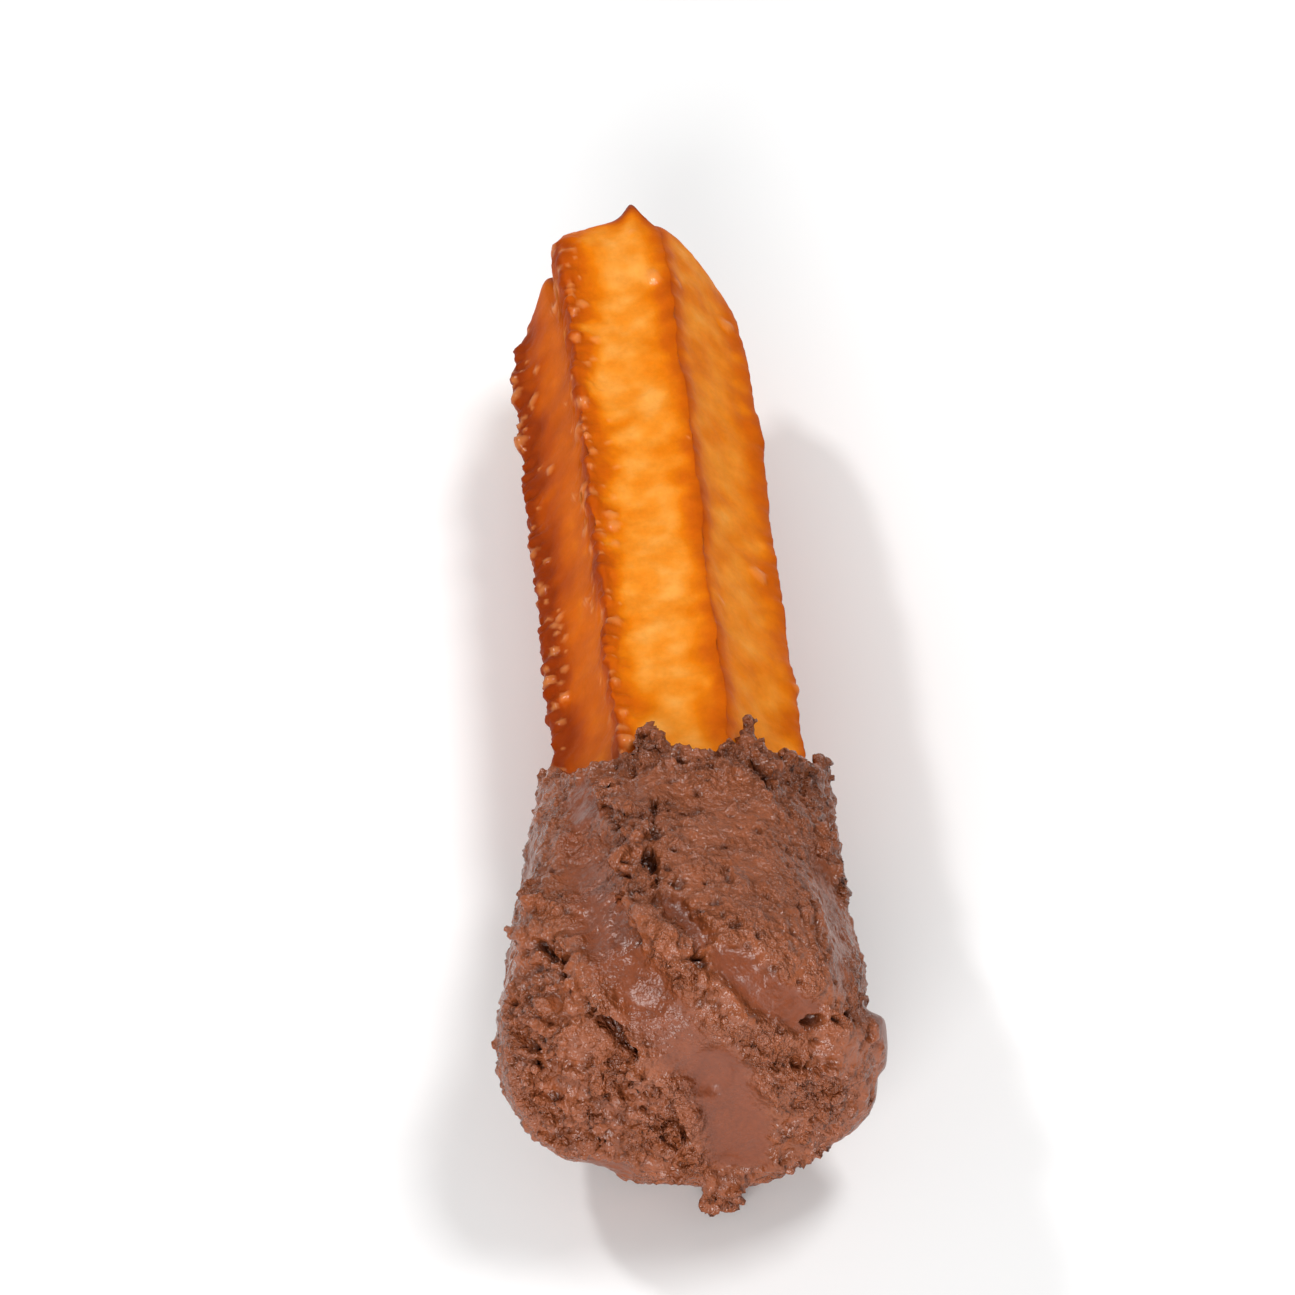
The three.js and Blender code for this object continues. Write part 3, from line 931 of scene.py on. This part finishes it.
def crumb_relief(point):
    """Height in mm of torn chocolate, and a mask of its creases and low spots, which are painted dark as
    shade.
    """
    bent = point + 0.9 * noise.noise_vector(point * 0.5)
    big = noise.turbulence(bent * 0.5, 2, True)
    small = noise.turbulence(bent * 1.25 + Vector((5, 2, 8)), 2, True)
    crease = smooth(0.16, 0.0, abs(noise.noise(bent * 0.42 + Vector((7, 7, 7)))))
    deep = crease * smooth(-0.1, 0.3, noise.noise(point * 0.17))
    return 1.3 * (big - 0.35) + 0.7 * (small - 0.3) - 0.7 * deep, max(deep, smooth(0.4, 0.08, big))


def press_and_crumble(bm):
    corners = list(bm.verts)
    _, torn, pressed, creases = knife_work([c.co for c in corners])
    for corner, tearing, pressing, crease in zip(corners, torn, pressed, creases):
        point = corner.co.copy()
        turn, along, _ = place_on_stick(point)
        wild = smooth(0.12, 0.5, noise.noise(point * 0.16 + Vector((4, 4, 4))))
        tearing = max(tearing, 0.7 * bell(coat_edge(turn) - along, 2.2), 0.6 * wild) * (1 - pressing)
        height, crevice_shade = crumb_relief(point)
        busy = smooth(-0.25, 0.3, noise.noise(point * 0.3 + Vector((6, 1, 3))))
        grain = (0.2 + 0.4 * busy) * (noise.turbulence(point * 0.9, 3, True) - 0.3)
        pit = smooth(0.34, 0.58, noise.noise(point * 0.95 + Vector((1, 8, 4)))) * (1 - pressing)
        relief = 0.95 * height * tearing + grain * (1 - pressing) * (1 - tearing)
        relief = relief - 0.8 * crease - 0.55 * pit
        corner.co += corner.normal * relief
        corner[pressed_layer] = pressing * (1 - 0.6 * tearing)
        hollow = smooth(-0.02, -0.16, grain) * (1 - pressing)
        # the cracks, creases, pits and hollows of the grain are stored to be painted darker, as painted
        # shade in the recesses
        corner[crevice_shade_layer] = min(max(0.5 * crevice_shade * tearing, 0.7 * crease, 0.3 * hollow, 0.7 * pit), 1.0)


def smooth_pressed(bm):
    _, _, pressed, _ = knife_work([c.co for c in bm.verts])
    chosen = [corner for corner, pressing in zip(bm.verts, pressed) if pressing > 0.5]
    for _ in range(SMOOTHING_ROUNDS):
        bmesh.ops.smooth_vert(
            bm, verts=chosen, factor=0.5, use_axis_x=True, use_axis_y=True, use_axis_z=True)
    bm.normal_update()
    return len(chosen)


print("pressed corners", smooth_pressed(coat))
press_and_crumble(coat)


# %% [markdown]
# ## Thick chocolate
# Torn chocolate scatters light in its crumbs, so its colour is the lighter one. Its cracks,
# creases, pits and the hollows of its grain are painted dark, as painted shade. Pressed chocolate
# is darker and smooth, because its surface is closed. A grain in the Bump node, strong in some
# zones and weak in others, does what is finer than the mesh.

# %% The chocolate's material
def thick_chocolate():
    material, tree, shader, position = start_material("thick_chocolate")
    pressed = attribute(tree, "pressed")
    body = mix_color(tree, pressed, (0.265, 0.071, 0.024), (0.18, 0.040, 0.011))
    # painted shade: the cracks, creases, pits and hollows of the coat are darkened towards near black
    cracks = math_node(tree, "MULTIPLY", attribute(tree, "crevice_shade"), 0.85)
    dark = mix_color(tree, cracks, body, (0.05, 0.009, 0.002))
    mottle = place_group(
        tree, MOTTLE, position, Color=dark, Patch_Scale=500.0, Speck_Scale=2600.0, Amount=0.55)
    tree.links.new(mottle["Color"], shader.inputs["Base Color"])
    grain = place_group(
        tree, GRAIN, position, Coarse_Scale=1250.0, Fine_Scale=2600.0, Fine_Share=0.35)
    rough = math_node(tree, "SUBTRACT", 1.0, math_node(tree, "MULTIPLY", pressed, 0.85))
    zones = add(tree, "ShaderNodeMapRange")
    tree.links.new(noise_node(tree, position, 230.0, 2.0), zones.inputs["Value"])
    zones.inputs["From Min"].default_value = 0.42
    zones.inputs["From Max"].default_value = 0.6
    zones.inputs["To Min"].default_value = 0.3
    height = math_node(tree, "MULTIPLY", grain["Height"], rough)
    height = math_node(tree, "MULTIPLY", height, zones.outputs[0])
    tree.links.new(bump(tree, height, 0.0012, 1.0), shader.inputs["Normal"])
    spots = math_node(tree, "MULTIPLY", grain["High Spots"], 0.1)
    dull = math_node(tree, "SUBTRACT", 0.36, math_node(tree, "MULTIPLY", rough, 0.14))
    tree.links.new(math_node(tree, "SUBTRACT", dull, spots), shader.inputs["Roughness"])
    shader.inputs["Specular IOR Level"].default_value = 0.5
    return material


finished(coat, "chocolate_spread", thick_chocolate(), "chocolate_coat")


# %% [markdown]
# ## The room
# A plain white floor and a pale sky for the fill. The sky looks whiter than it shines, and
# the floor glows a little far away from the stick, so it meets the sky without a line. One
# wide soft light hangs overhead, a little to the right, so the valleys that face up are
# brightest and the left flank falls off. A second one lifts the front, and a small lamp
# behind on the left puts glints on the moist chocolate.

# %% Floor, sky and light
FLOOR_SIZE = 6.0
SKY_SHINING = 0.3
SKY_SEEN = 0.9
GLOW_STARTS = 0.3
GLOW_FULL = 1.5


def plain_floor():
    bm = bmesh.new()
    bmesh.ops.create_grid(bm, x_segments=1, y_segments=1, size=FLOOR_SIZE / 2)
    bmesh.ops.translate(bm, vec=(0, 0, FLOOR - 0.00005), verts=bm.verts)
    mesh = bpy.data.meshes.new("floor")
    bm.to_mesh(mesh)
    bm.free()
    material = bpy.data.materials.new("white_table")
    material.use_nodes = True
    tree = material.node_tree
    shader = tree.nodes["Principled BSDF"]
    shader.inputs["Base Color"].default_value = (0.9, 0.9, 0.9, 1)
    shader.inputs["Roughness"].default_value = 0.9
    away = add(tree, "ShaderNodeVectorMath")
    away.operation = "LENGTH"
    tree.links.new(add(tree, "ShaderNodeTexCoord").outputs["Object"], away.inputs[0])
    far_light = add(tree, "ShaderNodeMapRange")
    tree.links.new(away.outputs["Value"], far_light.inputs["Value"])
    far_light.inputs["From Min"].default_value = GLOW_STARTS
    far_light.inputs["From Max"].default_value = GLOW_FULL
    far_light.inputs["To Max"].default_value = SKY_SEEN - 0.9 * SKY_SHINING
    far_light.interpolation_type = "SMOOTHSTEP"
    tree.links.new(far_light.outputs[0], shader.inputs["Emission Color"])
    shader.inputs["Emission Strength"].default_value = 1.0
    mesh.materials.append(material)
    floor = bpy.data.objects.new("floor", mesh)
    bpy.context.scene.collection.objects.link(floor)
    return floor


def soft_light(name, place, target, size, energy):
    data = bpy.data.lights.new(name, "AREA")
    data.size = size
    data.energy = energy
    lamp = bpy.data.objects.new(name, data)
    lamp.location = place
    lamp.rotation_euler = (Vector(target) - Vector(place)).to_track_quat("-Z", "Y").to_euler()
    bpy.context.scene.collection.objects.link(lamp)
    return lamp


plain_floor()
world = bpy.data.worlds.new("white_sky")
world.use_nodes = True
world.node_tree.nodes["Background"].inputs["Color"].default_value = (1, 1, 1, 1)
seen = add(world.node_tree, "ShaderNodeLightPath").outputs["Is Camera Ray"]
brighter = math_node(world.node_tree, "MULTIPLY", seen, SKY_SEEN - SKY_SHINING)
brightness = math_node(world.node_tree, "ADD", brighter, SKY_SHINING)
world.node_tree.links.new(brightness, world.node_tree.nodes["Background"].inputs["Strength"])
bpy.context.scene.world = world
centre = (cad_low + cad_high) / 2
soft_light("window_above", centre + Vector((0.16, -0.34, 0.87)), centre, 0.26, 4.15)
soft_light("window_in_front", centre + Vector((-0.78, 0.18, 0.32)), centre, 0.45, 6.5)
soft_light("small_lamp", centre + Vector((0.42, 0.48, 0.64)), centre, 0.09, 2.6)
bpy.context.scene.view_settings.view_transform = "Standard"

# %% [markdown]
# ## The camera
# A long lens looks down along the stick from the chocolate end, so the shape is nearly
# undistorted and the free end points up in the view.

# %% Camera
CAMERA_AZIMUTH = 265.2
CAMERA_ELEVATION = 47.0
LENS = 300.0
DISTANCE = 0.96

azimuth = math.radians(CAMERA_AZIMUTH)
elevation = math.radians(CAMERA_ELEVATION)
level = math.cos(elevation)
back = Vector((math.sin(azimuth) * level, -math.cos(azimuth) * level, math.sin(elevation)))
camera_data = bpy.data.cameras.new("camera")
camera_data.lens = LENS
camera = bpy.data.objects.new("camera", camera_data)
camera.location = centre + back * DISTANCE
camera.rotation_mode = "QUATERNION"
camera.rotation_quaternion = (-back).to_track_quat("-Z", "Y")
bpy.context.scene.collection.objects.link(camera)
bpy.context.scene.camera = camera
print("camera at", [round(c, 3) for c in camera.location])
